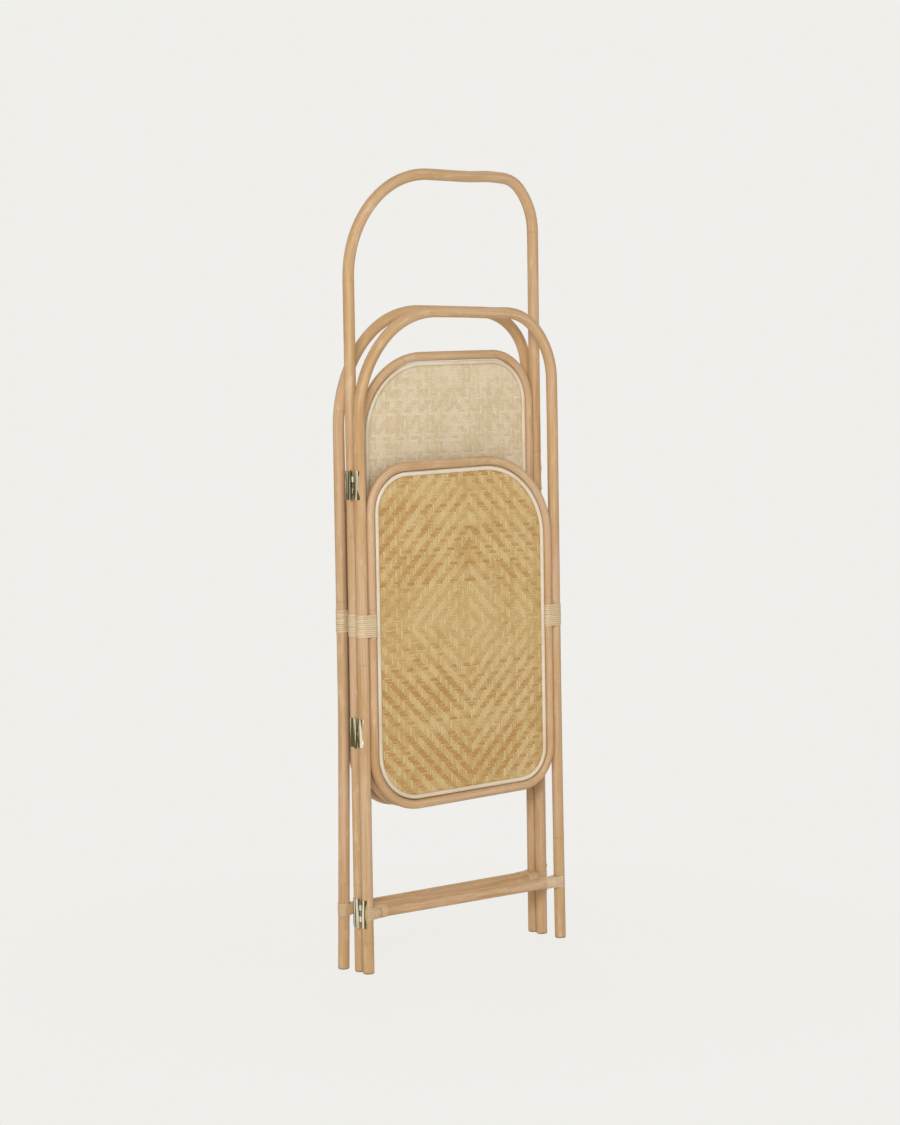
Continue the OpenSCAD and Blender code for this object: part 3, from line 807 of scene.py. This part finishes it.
def makeBeadPiece(name, panel, side, face):
    # a half-round strip that covers the cut ends of the weave, on one face
    half, height, lift = bead["width"] / 2, bead["height"], bead["lift"]
    angles = [math.pi * i / bead["sides"] for i in range(bead["sides"] + 1)]
    section = [(half * math.cos(a), face * (lift + height * math.sin(a) ** bead["fullness"])) for a in angles]
    inset = hoopRadius + bead["gap"] + half
    points = walk(*hoopRuns(name, panel, inset), bead["step"])
    phase = random.Random(f"{name} {side} bead").uniform(0, fullTurn)

    def wander(s, x, z):
        return 0, 0, bead["sway"] * math.sin(bead["swayPace"] * s + phase)

    bm = sweepLoop(section, rodRings(points, [], wander))
    makePiece(bm, f"{name}{side.title()}Bead", hoopPlace(panel), panel["body"],
              materials["bead"], [f"{name}_{side}_bead"])


for name, panel in panels.items():
    makeBeadPiece(name, panel, "front", -1)
    makeBeadPiece(name, panel, "back", 1)
print("beads laid")


# metres; the profile is the strip's section with rounded edges, in halves of its thickness and its width
winding = {"width": 0.0046, "thick": 0.0011, "seat": 0.0001, "turns": 11, "tilt": 0.0006, "gap": 0.00025,
           "legSteps": 16, "hoopSteps": 10,
           "profile": ((1, -0.7), (1.1, 0), (1, 0.7), (0.3, 1), (-1, 0.85), (-1, -0.85), (0.3, -1))}


def stripSection():
    width, thick = winding["width"] - winding["gap"], winding["thick"]
    return [(thick / 2 * x, width / 2 * y) for x, y in winding["profile"]]


def windTurn(bm, path, section, tone, closed=True):
    # the path is a list of (point, outward), and the strip's flat face is turned outward all along it
    places, distances = [], []
    along = 0.0
    for i, (point, outward) in enumerate(path):
        before, after = (i - 1, (i + 1) % len(path)) if closed else (max(0, i - 1), min(len(path) - 1, i + 1))
        ahead = (path[after][0] - path[before][0]).normalized()
        outward = (outward - outward.dot(ahead) * ahead).normalized()
        wide = ahead.cross(outward)
        if i:
            along += (point - path[i - 1][0]).length
        distances.append(along)
        turned = Matrix((outward, wide, ahead)).transposed().to_4x4()
        places.append(Matrix.Translation(point) @ turned)
    first, last = sweep(bm, section, places, distances, [tone] * len(places), "tone")
    if closed:
        closeLoop(bm, first, last)
    else:
        bmesh.ops.contextual_create(bm, geom=ringEdges(first))
        bmesh.ops.contextual_create(bm, geom=ringEdges(last))


def beltPath(side, z, tilt, lift):
    # once round a leg and the hoop beside it, seen from above
    toHoop = Vector((-side * (legX - hoopX), -hoopForward, 0))
    bearing = math.atan2(toHoop.y, toHoop.x)
    wrap = math.acos((poleRadius - hoopRadius) / toHoop.length)
    path = []
    for centre, radius, start, turn, steps in (
            (Vector(), poleRadius, bearing + wrap, 2 * math.pi - 2 * wrap, winding["legSteps"]),
            (toHoop, hoopRadius, bearing - wrap, 2 * wrap, winding["hoopSteps"])):
        for i in range(steps + 1):
            angle = start + turn * i / steps
            outward = Vector((math.cos(angle), math.sin(angle), 0))
            point = centre + outward * (radius + lift)
            point.z = z + tilt * math.cos(angle - bearing)
            path.append((point, outward))
    return path


def makeLashing(name, panel, sideName, side):
    dice = random.Random(f"{name} {sideName} lashing")
    bm = bmesh.new()
    lift = winding["seat"] + winding["thick"] / 2
    base = lashingZ + panel["lift"][sideName] - lashingHeight / 2 + winding["width"] / 2
    for turn in range(winding["turns"]):
        tilt = dice.uniform(-1, 1) * winding["tilt"]
        if turn in (0, winding["turns"] - 1):
            tilt = 0
        path = beltPath(side, base + turn * winding["width"], tilt, lift)
        windTurn(bm, path, stripSection(), dice.random())
    place = panel["place"] @ Matrix.Translation((side * legX, 0, 0))
    makePiece(bm, f"{name}{sideName.title()}Lashing", place, panel["body"], materials["cane"],
              [f"{name}_{sideName}_lashing"])


# the reach is the angle, from straight outwards, at which a cut or tucked band ends; the fan draws the bands
# together where they run in along the crossbar
binding = {"bandTurns": 6, "sleeveTurns": 7, "sleeveStart": 0.015, "fan": 0.8,
           "reach": {"cut": 55, "tucked": 88}, "bandSteps": 14, "tailSteps": (0.33, 0.66, 1),
           "sleeveSides": 24}


def bandPath(side, z, start, stop, tail):
    # from the front of the crossbar round the leg and back along the bar's other face. An angle to start or
    # stop at, in place of None, leaves out the tail on that side.
    lift = poleRadius + winding["seat"] + winding["thick"] / 2
    zIn = z * binding["fan"]
    hug = math.sqrt(max(0.0, poleRadius ** 2 - zIn ** 2)) + winding["seat"] + winding["thick"] / 2

    def tailPoint(face, t):
        point = Vector((-side * tail * t, face * (lift + (hug - lift) * t), z + (zIn - z) * t))
        return point, Vector((0, face, 0))

    path = [tailPoint(-1, t) for t in reversed(binding["tailSteps"])] if start is None else []
    low, high = -90 if start is None else start, 90 if stop is None else stop
    for i in range(binding["bandSteps"] + 1):
        angle = math.radians(low + (high - low) * i / binding["bandSteps"])
        outward = Vector((side * math.cos(angle), math.sin(angle), 0))
        point = outward * lift
        point.z = z
        path.append((point, outward))
    if stop is None:
        path += [tailPoint(1, t) for t in binding["tailSteps"]]
    return path


def makeBinding(name, panel, sideName, side):
    dice = random.Random(f"{name} {sideName} binding")
    bm = bmesh.new()
    width = winding["width"]
    tail = binding["sleeveStart"] + binding["sleeveTurns"] * width / 2
    kind = panel["bands"][sideName]
    reach = binding["reach"].get(kind)
    parts = ((None, None),) if kind == "whole" else ((None, -reach), (reach, None))
    for turn in range(binding["bandTurns"]):
        z = (turn - (binding["bandTurns"] - 1) / 2) * width
        tone = dice.random()
        for start, stop in parts:
            windTurn(bm, bandPath(side, z, start, stop, tail), stripSection(), tone, False)
    radius = poleRadius + winding["seat"] / 2 + winding["thick"] / 2
    for turn in range(binding["sleeveTurns"]):
        x = -side * (binding["sleeveStart"] + (turn + 0.5) * width)
        path = []
        for i in range(binding["sleeveSides"]):
            angle = 2 * math.pi * i / binding["sleeveSides"]
            outward = Vector((0, math.cos(angle), math.sin(angle)))
            path.append((outward * radius + Vector((x, 0, 0)), outward))
        windTurn(bm, path, stripSection(), dice.random())
    x = side * legX + legSplay(panel, side, crossbarZ)
    place = panel["place"] @ Matrix.Translation((x, 0, crossbarZ))
    makePiece(bm, f"{name}{sideName.title()}Binding", place, panel["body"],
              materials["cane" if kind == "tucked" else "binding"], [f"{name}_{sideName}_binding"])


for name, panel in panels.items():
    for sideName, side in (("left", -1), ("right", 1)):
        makeLashing(name, panel, sideName, side)
        makeBinding(name, panel, sideName, side)
print("cane wound")


# frame nodes that stay as they are, by the ends of their names, and their finishes
frameFinishes = {"_crossbar": "crossbar", "_leaf": "brass", "_pin": "brass", "_hinge_fixed_screws": "brass",
                 "_hinge_moving_screws": "brass", "_joint_screws": "steel"}
for nodeName, node in frame["nodes"].items():
    for ending, finish in frameFinishes.items():
        if nodeName.endswith(ending):
            node.data.materials.clear()
            node.data.materials.append(materials[finish])
print("frame nodes finished")


# metres and watts; the floor keeps a little shadow near the object, which fades out between two distances
studio = {"pale": (240, 239, 235), "floorSize": 12, "clear": 0.92, "shadowFade": (0.45, 1.2), "world": 0.5,
          "aim": (0, 0, 0.8),
          "lamps": {"keyLamp": {"place": (-4.0, -3.9, 2.7), "size": 2.2, "power": 198, "shines": True},
                    "fillLamp": {"place": (1.5, -4.2, 2.6), "size": 2.5, "power": 14, "shines": True},
                    # this one stands behind the screen, and would draw bright rims on the rods
                    "backLamp": {"place": (3.6, 4.2, 2.2), "size": 2.5, "power": 170, "shines": False}}}


def seenPlainly(wire):
    # 1 where the camera, a reflection or glass looks at the surface, 0 where it only lights the object
    camera = wire.add("ShaderNodeLightPath", output="Is Camera Ray")
    seen = camera + camera.sibling("Is Glossy Ray") + camera.sibling("Is Transmission Ray")
    return wire.math("MINIMUM", seen, 1.0)


def makeFloor():
    bm = bmesh.new()
    bmesh.ops.create_grid(bm, x_segments=1, y_segments=1, size=studio["floorSize"])
    mesh = bpy.data.meshes.new("floor")
    bm.to_mesh(mesh)
    bm.free()
    floor = bpy.data.objects.new("floor", mesh)
    bpy.context.scene.collection.objects.link(floor)
    material, wire = newMaterial("paleFloor")
    lit = wire.add("ShaderNodeBsdfDiffuse", {}, {"Color": linear(studio["pale"])})
    glow = wire.add("ShaderNodeEmission", {}, {"Color": linear(studio["pale"]), "Strength": 1.0})
    place = objectPlace(wire)
    distance = wire.add("ShaderNodeVectorMath", {"operation": "LENGTH"}, {0: place}, output="Value")
    far = fade(distance, *studio["shadowFade"])
    share = seenPlainly(wire) * (studio["clear"] + (1 - studio["clear"]) * far)
    mixed = wire.add("ShaderNodeMixShader", {}, {0: share, 1: lit, 2: glow})
    wire.add("ShaderNodeOutputMaterial", {}, {"Surface": mixed})
    mesh.materials.append(material)


def makeWorld():
    world = bpy.data.worlds.new("studio")
    bpy.context.scene.world = world
    world.use_nodes = True
    world.node_tree.nodes.clear()
    wire = Wire(world.node_tree)
    strength = studio["world"] + (1 - studio["world"]) * seenPlainly(wire)
    back = wire.add("ShaderNodeBackground", {}, {"Color": linear(studio["pale"]), "Strength": strength})
    wire.add("ShaderNodeOutputWorld", {}, {"Surface": back})


def makeLamp(name, place, size, power, shines):
    data = bpy.data.lights.new(name, "AREA")
    data.shape = "SQUARE"
    data.size = size
    data.energy = power
    lamp = bpy.data.objects.new(name, data)
    bpy.context.scene.collection.objects.link(lamp)
    lamp.location = place
    lamp.rotation_euler = (Vector(studio["aim"]) - Vector(place)).to_track_quat("-Z", "Y").to_euler()
    lamp.visible_glossy = shines


makeFloor()
makeWorld()
for name, lamp in studio["lamps"].items():
    makeLamp(name, **lamp)
print("studio lit")
